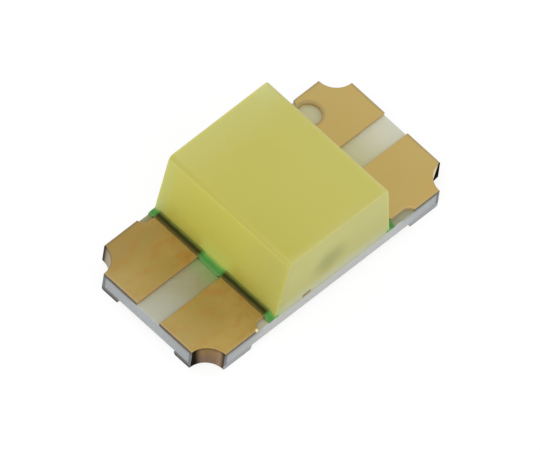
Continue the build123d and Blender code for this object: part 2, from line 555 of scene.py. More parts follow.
@dataclass(frozen=True)
class PlatedGold:
    """Satin gold plating on etched copper, in a shade that shifts away from the lens."""

    near: Colour
    middle: Colour
    far: Colour
    outer_front: Colour
    outer_back: Colour
    etched: Colour
    warm: Colour
    olive: Colour
    lit_edge: Colour
    shaded_edge: Colour
    glint_tone: Colour = PAINTED_GLINT
    roughness: float = 0.44
    to_middle: Band = Band(0.1, 0.44)
    to_far: Band = Band(0.38, 0.86)
    outer_part: Band = Band(0.42, 0.68, 0.9)
    past_mask: Band = Band(0.0, 0.25)
    by_lens: Band = Band(0.05, 0.45)
    patched: Band = Band(0.45, 0.72)
    tarnished: Band = Band(0.5, 0.72)
    rolled: Band = Band(0.0, 0.034, 0.5)
    mark_ring: Band = Band(1.0, 1.35, 0.7)

    def edges(self, graph: Graph, terminal: "Terminal", blotch: Socket) -> list[tuple[Socket, Colour]]:
        """Painted highlights and shade on the rolled edges, and painted shade in the ring round the
        polarity hole.

        Args:
            graph: The terminal's material.
            terminal: The terminal.
            blotch: Noise that makes the edges uneven.

        Returns:
            Shares and tints, in the order in which they are laid.
        """
        sides = (
            (terminal.half_length - abs(graph.x), terminal.end is End.LEFT),
            (terminal.half_width - abs(graph.y), terminal.row is Row.FRONT),
        )
        # Rolled edges: painted highlight on the sides towards the viewer, painted shade on the far sides.
        coats = [
            ((inside + blotch.swing(0.02)).before(self.rolled), self.lit_edge if lit else self.shaded_edge)
            for inside, lit in sides
        ]
        # Painted shade in a ring round the polarity hole.
        if terminal.is_marked:
            ring = graph.distance(terminal.mark_centre, (terminal.mark_radius, terminal.mark_radius, 1.0))
            coats.append((ring.before(self.mark_ring), self.shaded_edge))
        return coats

    def material(self, terminal: "Terminal") -> bpy.types.Material:
        """Dress the broad faces of one terminal.

        Args:
            terminal: The terminal, whose distance from the lens sets the shade.

        Returns:
            The material.
        """
        graph = Graph(f"plated_gold_{terminal.label}")
        blotch = graph.noise(0.3)
        away = abs(graph.x) - terminal.lens_foot + blotch.swing(0.12)
        outer = self.outer_front if terminal.row is Row.FRONT else self.outer_back
        patch = graph.noise(0.13, stretch=(1.6, 1, 1), shift=5.0).beyond(self.patched)
        speck = graph.cells(0.11).fall(0.02, 0.1) * patch
        tarnish = graph.noise(0.16, shift=9.0).beyond(self.tarnished)
        close = away.before(self.by_lens)
        colour = graph.paint(
            self.near,
            (away.beyond(self.to_middle), self.middle),
            (away.beyond(self.to_far), self.far),
            (abs(graph.y).beyond(self.outer_part) * away.beyond(self.past_mask), outer),
            (patch * (close * 0.3 + 0.3) + speck * 0.2, self.warm),
            (tarnish * (close * 0.4 + 0.15), self.olive),
            *self.edges(graph, terminal, blotch),
            # Painted glint: a small highlight on the front left land.
            (terminal.glint_spot(graph), self.glint_tone),
        )
        satin = graph.noise(0.012)
        dents = graph.cells(0.06, stretch=(1.3, 1, 1)).fall(0.0, 0.35)
        brushed = graph.noise(0.01, detail=1.0, stretch=(14, 1, 1), shift=2.0)
        return graph.finish(PRINCIPLED, {
            "Base Color": colour,
            "Metallic": 1.0,
            "Roughness": blotch.swing(0.1) + speck * 0.08 + self.roughness,
            "Normal": graph.bump(satin * 0.5 + brushed * 0.35 - dents * 0.4, 0.0007),
        })

    def etched_side(self, terminal: "Terminal") -> bpy.types.Material:
        """Dress the etched and plated sides of one terminal's copper.

        Args:
            terminal: The terminal.

        Returns:
            The material.
        """
        graph = Graph(f"etched_side_{terminal.label}")
        ragged = graph.noise(0.025)
        stained = ragged.rise(0.35, 0.65) * 0.4
        # Painted glint on the etched side, at the same place.
        shining = terminal.glint_spot(graph)
        return graph.finish(PRINCIPLED, {
            "Base Color": graph.paint(self.etched, (stained, self.warm), (shining, self.glint_tone)),
            "Metallic": 0.2,
            "Roughness": ragged * 0.15 + 0.45,
            "Normal": graph.bump(ragged, 0.0012),
        })


@dataclass(frozen=True)
class CutEdge:
    """Sawn side of the copper: dull, its own dark tone deepened by painted shade and dark reflection,
    darkest along the lands at the ends of the board.
    """

    land_end: Colour = display(102, 92, 80)
    land_side: Colour = display(112, 106, 84)
    tie_bar: Colour = display(150, 126, 92)
    glint_tone: Colour = PAINTED_GLINT
    barrel: Colour = display(116, 120, 122)
    pad_end: Colour = display(108, 108, 106)
    pad_side: Colour = display(168, 171, 176)
    # Near-black painted shade at the bottom of the pads' sides.
    foot: Colour = display(34, 34, 34)
    smear: Colour = display(72, 66, 58)
    board_end: Band = Band(-0.03, -0.01)
    smeared: Band = Band(0.35, 0.65, 0.5)
    under_lens: Band = Band(-0.1, 0.0)
    foot_up: Band = Band(0.006, 0.038)
    pad_to_barrel: Band = Band(-0.01, 0.01)
    barrel_to_land: Band = Band(-0.012, 0.0)

    def material(self, terminal: "Terminal") -> bpy.types.Material:
        """Dress the sawn sides of one terminal.

        Args:
            terminal: The terminal.

        Returns:
            The material.
        """
        graph = Graph(f"cut_edge_{terminal.label}")
        streak = graph.noise(0.03, stretch=(3, 3, 1))
        grain = graph.noise(0.008)
        at_end = (abs(graph.x) - terminal.half_length).beyond(self.board_end)
        land = graph.paint(
            # Land sides: the copper's own dark tone with painted shade and dark reflection, darkest at the
            # board's ends.
            self.land_side,
            (at_end, self.land_end),
            (streak.beyond(self.smeared), self.smear),
            ((abs(graph.x) - terminal.lens_foot).before(self.under_lens), self.tie_bar),
            # Painted glint on the sawn side, at the same place.
            (terminal.glint_spot(graph), self.glint_tone),
        )
        # Painted shade along the bottom of the pads' sides, where they meet the floor.
        low = (graph.z + streak.swing(0.02)).before(self.foot_up)
        colour = graph.paint(
            self.pad_side,
            (at_end, self.pad_end),
            (low * (at_end * 0.5 + 0.4), self.foot),
            ((graph.z - terminal.core_bottom).beyond(self.pad_to_barrel), self.barrel),
            ((graph.z - terminal.core_top).beyond(self.barrel_to_land), land),
        )
        return graph.finish(PRINCIPLED, {
            "Base Color": colour,
            "Metallic": 0.45,
            "Roughness": grain * 0.2 + 0.45,
            "Normal": graph.bump(grain, 0.001),
        })


@dataclass(frozen=True)
class PlatedBarrel:
    """Wall of a plated notch: brown gold with drill marks, fading into painted shade and dark reflection
    towards its cut edges.
    """

    wall: Colour
    low: Colour
    towards_side: Colour
    end_dark: float
    end_reach: float
    side_dark: float
    flare: float = 0.12
    # Near-black of the painted shade and dark reflection; it also darkens the barrel's top rim.
    cut: Colour = display(22, 19, 14)
    side_tinted: Band = Band(0.0, 0.16, 0.8)
    side_shaded: Band = Band(0.012, 0.055)
    drilled: Band = Band(0.4, 0.7, 0.25)
    low_part: float = 0.02
    rim: float = 0.01
    rim_dark: float = 0.45

    def material(self, terminal: "Terminal") -> bpy.types.Material:
        """Dress the barrel of one terminal.

        Args:
            terminal: The terminal, whose cut edges are dark.

        Returns:
            The material.
        """
        graph = Graph(f"plated_barrel_{terminal.label}")
        drill = graph.noise(0.02, stretch=(1, 1, 6))
        from_end = terminal.half_length - abs(graph.x)
        from_side = terminal.half_width - abs(graph.y)
        colour = graph.paint(
            graph.mix(graph.z.fall(self.low_part, terminal.land_top), self.wall, self.low),
            (from_side.before(self.side_tinted), self.towards_side),
            (drill.beyond(self.drilled), self.low),
            (graph.z.rise(terminal.core_top - self.rim, terminal.land_top) * self.rim_dark, self.cut),
        )
        # Painted shade and dark reflection: the wall fades into a dull near-black towards the board's end
        # and its long side.
        wedge = from_end - (terminal.land_top - graph.z) * self.flare
        dark = wedge.fall(self.end_reach / 4, self.end_reach) * self.end_dark
        dark = dark.most(from_side.before(self.side_shaded) * self.side_dark)
        plated = graph.node(PRINCIPLED, inputs={
            "Base Color": colour,
            "Metallic": 0.75,
            "Roughness": drill * 0.2 + 0.3,
            "Normal": graph.bump(drill, 0.0015),
        })
        painted_shade = graph.node(PRINCIPLED, inputs={
            "Base Color": self.cut, "Roughness": 0.9, "Specular IOR Level": 0.0,
        })
        return graph.finish("ShaderNodeMixShader", {0: dark, 1: plated.outputs[0], 2: painted_shade.outputs[0]})


@dataclass(frozen=True)
class GreenMask:
    """Solder mask: nearly black over gold, green over the board, paler by the lens and where it thins."""

    over_gold: Colour = display(50, 50, 14)
    beside_lens: Colour = display(118, 126, 58)
    thin_over_gold: Colour = display(104, 92, 42)
    over_board: Colour = display(76, 142, 68)
    board_beside_lens: Colour = display(112, 164, 82)
    thin_over_board: Colour = display(112, 148, 84)
    cloudy: Colour = display(88, 130, 60)
    roughness: float = 0.6
    specular: float = 0.1
    by_lens: Band = Band(-0.004, 0.034)
    thinning: Band = Band(-0.034, 0.004, 0.9)
    clouded: Band = Band(0.35, 0.7, 0.3)

    def strip_tint(self, graph: Graph, cloud: Socket, strip: "MaskStrip") -> Socket:
        """Colour of a strip, from the lens out.

        Args:
            graph: The strip's material.
            cloud: Noise that makes its edges uneven.
            strip: The strip.

        Returns:
            The colour.
        """
        across = abs(graph.x) + cloud.swing(0.015)
        # Paler by the lens: painted light coming through the lens's foot.
        by_lens = (across - strip.lens_foot).before(self.by_lens)
        thin = (across - strip.high.x).beyond(self.thinning)
        dark = graph.paint(self.over_gold, (by_lens, self.beside_lens), (thin, self.thin_over_gold))
        bright = graph.paint(
            self.plain_tint(graph, cloud), (by_lens, self.board_beside_lens), (thin, self.thin_over_board)
        )
        return graph.mix(strip.bare(graph), dark, bright)

    def plain_tint(self, graph: Graph, cloud: Socket) -> Socket:
        """Colour of mask on bare board."""
        return graph.mix(cloud.beyond(self.clouded), self.over_board, self.cloudy)

    def material(self, name: str, strip: "MaskStrip | None" = None) -> bpy.types.Material:
        """Dress one patch of mask.

        Args:
            name: Name of the material.
            strip: The strip, where the patch is one of the two beside the lens.

        Returns:
            The material.
        """
        graph = Graph(name)
        cloud = graph.noise(0.09, detail=3.0)
        dimple = graph.cells(0.035).fall(0.0, 0.5)
        return graph.finish(PRINCIPLED, {
            "Base Color": self.strip_tint(graph, cloud, strip) if strip else self.plain_tint(graph, cloud),
            "Roughness": cloud.swing(0.12) + self.roughness,
            "Specular IOR Level": self.specular,
            "Normal": graph.bump(cloud * 0.7 - dimple * 0.3, 0.0015),
        })


@dataclass(frozen=True)
class GlassLaminate:
    """White glass-fibre laminate: resin-rich faces with the weave showing, fibres cut at the sides."""

    face: Colour = display(206, 205, 184)
    beside_lens: Colour = display(194, 189, 136)
    browned: Colour = display(138, 129, 70)
    browned_far: Colour = display(178, 178, 160)
    mask_haze: Colour = display(120, 162, 88)
    relief_left: Colour = display(172, 168, 140)
    relief_right: Colour = display(146, 148, 116)
    side: Colour = display(190, 191, 189)
    side_far: Colour = display(168, 171, 172)
    side_corner: Colour = display(150, 155, 160)
    side_by_land: Colour = display(146, 144, 130)
    side_by_lens: Colour = display(188, 185, 118)
    bundle: Colour = display(180, 184, 188)
    weave_pitch: float = 0.11
    roughness: float = 0.5
    sawn_roughness: float = 0.75
    skin: Band = Band(0.002, 0.008)
    left_end: Band = Band(-0.1, 0.0)
    yellower_reach: Band = Band(0.12, 0.85)
    browning: float = 1.3
    in_relief: Band = Band(-0.09, -0.07)
    haze_out: Band = Band(0.06, 0.28, 0.6)
    haze_half: Band = Band(0.5, 0.6)
    past_lens: Band = Band(0.8, 1.15)
    corner_along: Band = Band(1.15, 1.5, 0.7)
    corner_across: Band = Band(0.15, 0.5)
    just_under: Band = Band(-0.055, 0.0)
    land_along: Band = Band(0.1, 0.24, 0.85)
    land_across: Band = Band(0.16, 0.24)
    lens_along: Band = Band(-0.1, 0.0, 0.6)

    def face_tint(self, graph: Graph, board: "Board") -> Socket:
        """Colour of the bare faces: yellower beside the lens, browner at the left end.

        Args:
            graph: The board's material.
            board: The board.

        Returns:
            The colour.
        """
        at_left = graph.x.before(self.left_end)
        from_lens = abs(graph.x) - board.lens_foot
        browned = (from_lens / (board.half_length - board.lens_foot)).most(0.0) ** self.browning
        right = graph.mix(from_lens.before(self.yellower_reach), self.face, self.beside_lens)
        left = graph.mix(browned, self.browned, self.browned_far)
        relief = graph.mix(at_left, self.relief_right, self.relief_left)
        return graph.paint(
            right,
            (at_left, left),
            ((-graph.y - board.half_width).beyond(self.in_relief), relief),
            (from_lens.before(self.haze_out) * abs(graph.y).before(self.haze_half), self.mask_haze),
        )

    def side_tint(self, graph: Graph, board: "Board", layers: Socket) -> Socket:
        """Colour of the sawn sides: painted shade past the lens, at the corners and just under the lands,
        and a yellow tint just under the lens.

        Args:
            graph: The board's material.
            board: The board.
            layers: Noise of the cut fibre layers.

        Returns:
            The colour.
        """
        along, across = abs(graph.x), abs(graph.y)
        from_lens = along - board.lens_foot
        upper = (graph.z + layers.swing(0.02) - board.top).beyond(self.just_under)
        by_land = from_lens.beyond(self.land_along) * across.beyond(self.land_across)
        return graph.paint(
            self.side,
            # Painted shade past the lens, at the corners and just under the lands' copper.
            (along.beyond(self.past_lens), self.side_far),
            (along.beyond(self.corner_along) * across.beyond(self.corner_across), self.side_corner),
            (upper * by_land, self.side_by_land),
            (upper * from_lens.before(self.lens_along), self.side_by_lens),
        )

    def material(self, board: "Board") -> bpy.types.Material:
        """Dress the board.

        Args:
            board: The board, whose faces place the weave and the cut fibres.

        Returns:
            The material.
        """
        graph = Graph("glass_laminate")
        inside = (board.half_length - abs(graph.x)).least(board.half_width - abs(graph.y))
        flat = inside.beyond(self.skin)
        wave = 2 * math.pi / self.weave_pitch
        weave = (graph.x * wave).sine() * (graph.y * wave).sine() * 0.5 + 0.5
        cloud = graph.noise(0.25, detail=3.0)
        layers = graph.noise(0.02, stretch=(9, 9, 1))
        ends = graph.noise(0.012)
        mottle = weave * 0.05 + cloud.rise(0.3, 0.7) * 0.12
        fibres = layers.rise(0.35, 0.65) * 0.3 + ends * 0.15
        face = graph.mix(mottle, self.face_tint(graph, board), self.bundle)
        side = graph.mix(fibres, self.side_tint(graph, board, layers), self.bundle)
        relief = (weave * 0.4 + cloud * 0.3) * flat + (layers * 0.8 + ends * 0.6) * (1.0 - flat)
        return graph.finish(PRINCIPLED, {
            "Base Color": graph.mix(flat, side, face),
            "Roughness": self.sawn_roughness - flat * (self.sawn_roughness - self.roughness) + cloud * 0.1,
            "Subsurface Weight": 0.2,
            "Subsurface Radius": (0.1, 0.1, 0.08),
            "Subsurface Scale": MM,
            "Normal": graph.bump(relief, 0.002),
        })


GOLD = {
    End.LEFT: PlatedGold(
        near=display(184, 154, 92), middle=display(168, 143, 79), far=display(177, 153, 94),
        outer_front=display(184, 156, 90), outer_back=display(160, 136, 80),
        etched=display(176, 150, 98), warm=display(176, 124, 54), olive=display(156, 140, 62),
        lit_edge=display(196, 168, 128), shaded_edge=display(116, 106, 80)),
    End.RIGHT: PlatedGold(
        near=display(188, 164, 99), middle=display(187, 163, 99), far=display(190, 166, 104),
        outer_front=display(188, 164, 101), outer_back=display(188, 165, 103),
        etched=display(192, 168, 118), warm=display(196, 160, 96), olive=display(184, 166, 94),
        lit_edge=display(198, 168, 122), shaded_edge=display(144, 130, 100)),
}
# Barrel tones carry painted light: the front right wall is painted bright as a highlight, and each barrel
# has its own share of painted shade and dark reflection.
BARRELS = {
    (Row.FRONT, End.LEFT): PlatedBarrel(
        wall=display(142, 113, 60), low=display(116, 92, 70), towards_side=display(160, 130, 100),
        end_dark=0.97, end_reach=0.1, side_dark=0.75),
    (Row.BACK, End.LEFT): PlatedBarrel(
        wall=display(172, 148, 102), low=display(160, 142, 108), towards_side=display(140, 132, 118),
        end_dark=0.5, end_reach=0.06, side_dark=0.8),
    (Row.FRONT, End.RIGHT): PlatedBarrel(
        wall=display(244, 226, 172), low=display(232, 212, 158), towards_side=display(224, 204, 150),
        end_dark=1.0, end_reach=0.045, side_dark=0.4, flare=0.35, cut=display(24, 22, 16)),
    (Row.BACK, End.RIGHT): PlatedBarrel(
        wall=display(170, 140, 90), low=display(150, 122, 84), towards_side=display(160, 134, 92),
        end_dark=0.7, end_reach=0.06, side_dark=0.4),
}


@dataclass(frozen=True)
class InnerFinish:
    """Finish of a small piece that the lens buries: a tone, a second tone in clouds, and a grain."""

    name: str
    tone: Colour
    second: Colour
    metallic: float
    roughness: float
    cloud: float
    grain: float
    stretch: tuple[float, float, float] = (1, 1, 1)

    def material(self) -> bpy.types.Material:
        """Dress the piece."""
        graph = Graph(self.name)
        cloud = graph.noise(self.cloud, 2.0, self.stretch)
        grain = graph.noise(self.grain, 2.0, self.stretch, 4.0)
        return graph.finish(PRINCIPLED, {
            "Base Color": graph.mix(cloud.rise(0.35, 0.65), self.tone, self.second),
            "Metallic": self.metallic,
            "Roughness": grain * 0.16 + (self.roughness - 0.08),
            "Normal": graph.bump(grain, self.grain * 0.08),
        })


class Pen:
    """Draws a closed outline in a bmesh by straight runs and by spinning its last corner."""

    def __init__(self, mesh: bmesh.types.BMesh, x: float, y: float, z: float, step: float = 10.0) -> None:
        """Start an outline at a point; step is the largest turn of one edge of an arc, in degrees."""
        self.mesh = mesh
        self.level = z
        self.step = step
        self.first = mesh.verts.new((x, y, z))
        self.last = self.first

    def run(self, *points: tuple[float, float]) -> "Pen":
        """Draw straight runs to each of the points in turn."""
        for x, y in points:
            corner = self.mesh.verts.new((x, y, self.level))
            self.mesh.edges.new((self.last, corner))
            self.last = corner
        return self

    def arc(self, centre: tuple[float, float], turn: float) -> "Pen":
        """Draw an arc round a centre.

        Args:
            centre: Middle of the arc.
            turn: Its angle in degrees, positive for anticlockwise.

        Returns:
            The pen itself.
        """
        steps = max(2, math.ceil(abs(turn) / self.step))
        made = bmesh.ops.spin(
            self.mesh, geom=[self.last], cent=(*centre, self.level), axis=(0, 0, 1),
            angle=math.radians(turn), steps=steps,
        )
        self.last = next(part for part in made["geom_last"] if isinstance(part, bmesh.types.BMVert))
        return self

    def close(self) -> None:
        """Join the last corner to the first."""
        self.mesh.edges.new((self.last, self.first))


def weld(mesh: bmesh.types.BMesh) -> None:
    """Merge corners that lie on one another."""
    bmesh.ops.remove_doubles(mesh, verts=mesh.verts[:], dist=WELD)


def fill(mesh: bmesh.types.BMesh, edges: Sequence[bmesh.types.BMEdge]) -> list[bmesh.types.BMFace]:
    """Fill a flat outline, holes left open.

    Args:
        mesh: The mesh that the outline is drawn in.
        edges: Edges of the outline and of its holes.

    Returns:
        The new faces.
    """
    made = bmesh.ops.triangle_fill(mesh, use_beauty=True, edges=list(edges), normal=(0, 0, 1))
    return [part for part in made["geom"] if isinstance(part, bmesh.types.BMFace)]


def raise_faces(mesh: bmesh.types.BMesh, faces: Sequence[bmesh.types.BMFace], height: float) -> None:
    """Give flat faces a thickness.

    Args:
        mesh: The mesh that they belong to.
        faces: The faces.
        height: Thickness in millimetres, negative for downwards.
    """
    made = bmesh.ops.extrude_face_region(mesh, geom=list(faces), use_keep_orig=True)
    moved = [part for part in made["geom"] if isinstance(part, bmesh.types.BMVert)]
    bmesh.ops.translate(mesh, vec=(0, 0, height), verts=moved)


def round_edges(mesh: bmesh.types.BMesh, edges: Sequence[bmesh.types.BMEdge], radius: float,
                segments: int) -> None:
    """Round edges.

    Args:
        mesh: The mesh that they belong to.
        edges: The edges.
        radius: How far the rounding reaches from each edge, in millimetres.
        segments: Faces across the rounding.
    """
    bmesh.ops.bevel(
        mesh, geom=list(edges), offset=radius, offset_type="OFFSET", segments=segments, profile=0.5,
        affect="EDGES", clamp_overlap=True, material=-1,
    )


def settle_order(mesh: bmesh.types.BMesh) -> None:
    """Sort edges and faces by their corners, as extrusions leave their order to chance."""
    mesh.verts.index_update()
    total = len(mesh.verts)

    def rank(part: bmesh.types.BMEdge | bmesh.types.BMFace) -> int:
        """Number made of the lowest corners of an edge or face."""
        lowest = sorted(corner.index for corner in part.verts)[:3]
        return sum(index * total ** place for place, index in enumerate(reversed(lowest)))

    mesh.edges.sort(key=rank)
    mesh.faces.sort(key=rank)


def tidy(mesh: bmesh.types.BMesh) -> None:
    """Merge doubled corners, join faces that lie in one plane and turn all faces outwards."""
    weld(mesh)
    settle_order(mesh)
    bmesh.ops.dissolve_limit(
        mesh, angle_limit=PLANE_ANGLE, verts=mesh.verts[:], edges=mesh.edges[:], delimit={"MATERIAL"}
    )
    bmesh.ops.recalc_face_normals(mesh, faces=mesh.faces[:])


def sharp(edge: bmesh.types.BMEdge) -> bool:
    """Say whether two faces meet at an edge at a steep angle."""
    return len(edge.link_faces) == 2 and edge.calc_face_angle() > SHARP_ANGLE


def level_edges(mesh: bmesh.types.BMesh, z: float) -> list[bmesh.types.BMEdge]:
    """Sharp edges that lie in the level plane at a height."""
    return [
        edge for edge in mesh.edges
        if sharp(edge) and all(abs(corner.co.z - z) < CLOSE for corner in edge.verts)
    ]


def finish_piece(mesh: bmesh.types.BMesh, name: str, materials: Sequence[bpy.types.Material],
                 replaced: str, flip: tuple[int, int] = (1, 1)) -> bpy.types.Object:
    """Turn a mesh drawn in millimetres into a piece of the part.

    Args:
        mesh: The mesh, which is used up.
        name: Name of the piece.
        materials: Its materials, in the order of the faces' material numbers.
        replaced: The CAD node that it stands for.
        flip: Factors for X and Y that mirror the mesh to its corner.

    Returns:
        The finished object.
    """
    bmesh.ops.scale(mesh, vec=(flip[0] * MM, flip[1] * MM, MM), verts=mesh.verts[:])
    bmesh.ops.recalc_face_normals(mesh, faces=mesh.faces[:])
    settle_order(mesh)
    data = bpy.data.meshes.new(name)
    mesh.to_mesh(data)
    mesh.free()
    data.set_sharp_from_angle(angle=SMOOTH_ANGLE)
    for face in data.polygons:
        face.use_smooth = face.area < FLAT_AREA * MM * MM
    for material in materials:
        data.materials.append(material)
    piece = bpy.data.objects.new(name, data)
    bpy.context.scene.collection.objects.link(piece)
    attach(piece, BODY)
    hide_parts(replaced)
    LOG.info("%s: %d faces, replaces %s", name, len(data.polygons), replaced)
    return piece


@dataclass
class Board:
    """Glass-fibre board with a quarter of a drilled hole at each corner."""

    hole_radius: float = 0.25
    edge_round: float = 0.004
    arc_step: float = 9.0
    half_length: float = field(init=False)
    half_width: float = field(init=False)
    bottom: float = field(init=False)
    top: float = field(init=False)
    lens_foot: float = field(init=False)

    def __post_init__(self) -> None:
        """Read the board's size from the frame."""
        low, high = node_box("laminate_core")
        self.half_length, self.half_width = high.x, high.y
        self.bottom, self.top = low.z, high.z
        self.lens_foot = node_box("lens")[1].x

    def outline(self, mesh: bmesh.types.BMesh) -> None:
        """Draw the board's outline anticlockwise from its +X end.

        Args:
            mesh: The mesh to draw in.
        """
        length, width, hole = self.half_length, self.half_width, self.hole_radius
        pen = Pen(mesh, length, -width + hole, self.bottom, self.arc_step)
        pen.run((length, width - hole)).arc((length, width), -90)
        pen.run((-length + hole, width)).arc((-length, width), -90)
        pen.run((-length, -width + hole)).arc((-length, -width), -90)
        pen.run((length - hole, -width)).arc((length, -width), -90)
        weld(mesh)

    def build(self) -> bpy.types.Object:
        """Make the board.

        Returns:
            The finished piece.
        """
        mesh = bmesh.new()
        self.outline(mesh)
        raise_faces(mesh, fill(mesh, mesh.edges[:]), self.top - self.bottom)
        tidy(mesh)
        rims = level_edges(mesh, self.top) + level_edges(mesh, self.bottom)
        round_edges(mesh, rims, self.edge_round, 1)
        material = GlassLaminate().material(self)
        return finish_piece(mesh, "sawn_board", [material], "laminate_core")


class Surface(Enum):
    """Kind of surface on a terminal, with the number that its faces carry."""

    BROAD = 0
    SAWN = 1
    BARREL = 2
    ETCHED = 3


@dataclass
class Terminal:
    """One plated terminal: land, notch barrel, solder pad and the copper under the lens."""

    end: End
    row: Row
    hole_radius: float = 0.25
    notch_radius: float = 0.215
    edge_margin: float = 0.075
    edge_run_left: float = 0.645
    edge_run_right: float = 0.54
    pad_length: float = 0.58
    pad_width: float = 0.43
    hole_from_end: float = 0.54
    hole_from_edge: float = 0.20
    mark_radius: float = 0.125
    row_y: float = 0.47
    die_pad_half: float = 0.17
    die_pad_corner: float = 0.04
    finger_half: float = 0.09
    bar_from_tip: float = 0.065
    bar_half: float = 0.0535
    land_round: float = 0.011
    pad_round: float = 0.03
    sawn_round: float = 0.01
    arc_step: float = 7.5
    mark_segments: int = 40
    # Place, size and strength of the painted glint on the front left land.
    glint_inset: float = 0.01
    glint_reach: tuple[float, float, float] = (0.04, 0.035, 0.05)
    glint_strength: float = 2.0
    level_normal: float = 0.97
    half_length: float = field(init=False)
    half_width: float = field(init=False)
    core_bottom: float = field(init=False)
    core_top: float = field(init=False)
    land_top: float = field(init=False)
    gap_half: float = field(init=False)
    tip: float = field(init=False)
    mask_inner: float = field(init=False)
    lens_foot: float = field(init=False)

    def __post_init__(self) -> None:
        """Read the terminal's surroundings from the frame."""
        low, high = node_box("laminate_core")
        self.half_length, self.half_width = high.x, high.y
        self.core_bottom, self.core_top = low.z, high.z
        own_low, own_high = node_box(self.node)
        self.land_top = own_high.z
        self.gap_half = own_low.y if self.row is Row.BACK else -own_high.y
        self.tip = own_low.x if self.end is End.RIGHT else -own_high.x
        mask_low, mask_high = node_box(f"solder_mask_{self.end.name.lower()}")
        self.mask_inner = mask_low.x if self.end is End.RIGHT else -mask_high.x
        self.lens_foot = node_box("lens")[1].x

    @property
    def label(self) -> str:
        """Row and end of the terminal as one word."""
        return f"{self.row.name}_{self.end.name}".lower()

    @property
    def node(self) -> str:
        """Name of the terminal's CAD node."""
        return f"terminal_{self.label}"

    @property
    def edge_run(self) -> float:
        """Length over which the land follows the board's long edge."""
        return self.edge_run_left if self.end is End.LEFT else self.edge_run_right

    @property
    def relief_start(self) -> tuple[float, float]:
        """Place on the long edge where the copper steps in from it, drawn at the +X +Y corner."""
        return self.half_length - self.edge_run, self.half_width

    @property
    def is_marked(self) -> bool:
        """Whether this land has the round polarity hole."""
        return self.end is End.RIGHT and self.row is Row.BACK

    @property
    def top_round(self) -> float:
        """Rounding of the land's etched edges, half as large where the hole leaves a thin bridge."""
        return self.land_round / 2 if self.is_marked else self.land_round

    @property
    def mark_centre(self) -> tuple[float, float, float]:
        """Middle of the polarity hole, on the land's top."""
        x = self.half_length - self.hole_from_end
        return x, self.half_width - self.hole_from_edge, self.land_top

    def glint_spot(self, graph: Graph) -> Socket:
        """Say in a shader where the painted glint of the front left land lies: a small highlight at the tip
        where the land steps in from the long edge.

        Args:
            graph: The material that asks.

        Returns:
            1 on the glint and 0 elsewhere, with a soft edge.
        """
        x, y = self.relief_start
        middle = (self.end.value * (x + self.glint_inset), self.row.value * y, self.land_top)
        spot = graph.hill(middle, self.glint_reach, graph.noise(0.02) * 0.2)
        has_glint = self.end is End.LEFT and self.row is Row.FRONT
        return (spot * (self.glint_strength if has_glint else 0.0)).least(1.0)

    def draw_die_pad(self, pen: Pen) -> None:
        """Draw the copper that carries a die, from the land in under the lens and back.

        Args:
            pen: Pen that stands at the land's inner corner.
        """
        low, high = self.row_y - self.die_pad_half, self.row_y + self.die_pad_half
        corner = self.die_pad_corner
        pen.run((self.mask_inner, low), (self.tip + corner, low))
        pen.arc((self.tip + corner, low + corner), -90)
        pen.run((self.tip, high - corner)).arc((self.tip + corner, high - corner), -90)
        pen.run((self.mask_inner, high))

    def draw_finger(self, pen: Pen) -> None:
        """Draw the copper finger of an anode wire, with the tie bar out to the sawn edge.

        Args:
            pen: Pen that stands at the land's inner corner.
        """
        side = self.finger_half
        low, high = self.row_y - side, self.row_y + side
        middle = (self.tip + side, self.row_y)
        bar_low = self.tip + self.bar_from_tip - self.bar_half
        bar_high = bar_low + 2 * self.bar_half
        meet = math.degrees(math.acos((middle[0] - bar_low) / side))
        pen.run((self.mask_inner, low), (middle[0], low)).arc(middle, -180 + 90 - meet)
        pen.run((bar_low, self.half_width), (bar_high, self.half_width), (bar_high, high))
        pen.run((self.mask_inner, high))

    def land_faces(self, mesh: bmesh.types.BMesh) -> list[bmesh.types.BMFace]:
        """Draw and fill the land, outside the ring of the barrel.

        Args:
            mesh: The mesh to draw in.

        Returns:
            The filled faces.
        """
        length, width, side = self.half_length, self.half_width, self.half_width - self.edge_margin
        relief = length - self.edge_run - self.edge_margin
        pen = Pen(mesh, length, width - self.hole_radius, self.core_top, self.arc_step)
        pen.run((length, self.gap_half), (self.mask_inner, self.gap_half))
        if self.end is End.RIGHT:
            self.draw_die_pad(pen)
        else:
            self.draw_finger(pen)
        pen.run((self.mask_inner, side), (relief, side)).arc((relief, width), 90)
        pen.run((length - self.hole_radius, width)).arc((length, width), 90)
        weld(mesh)
        if self.is_marked:
            place = Matrix.Translation((*self.mark_centre[:2], self.core_top))
            bmesh.ops.create_circle(
                mesh, segments=self.mark_segments, radius=self.mark_radius, matrix=place
            )
        return fill(mesh, mesh.edges[:])

    def ring_face(self, mesh: bmesh.types.BMesh, level: float) -> list[bmesh.types.BMFace]:
        """Spin the quarter ring that is the barrel's plan.

        Args:
            mesh: The mesh to draw in.
            level: Height at which it lies.

        Returns:
            The ring's faces.
        """
        middle = (self.half_length, self.half_width, level)
        ends = [
            mesh.verts.new((self.half_length - radius, self.half_width, level))
            for radius in (self.notch_radius, self.hole_radius)
        ]
        before = set(mesh.faces)
        steps = math.ceil(90 / self.arc_step)
        bmesh.ops.spin(
            mesh, geom=[*ends, mesh.edges.new(ends)], cent=middle, axis=(0, 0, 1),
            angle=math.radians(90), steps=steps,
        )
        return [face for face in mesh.faces if face not in before]

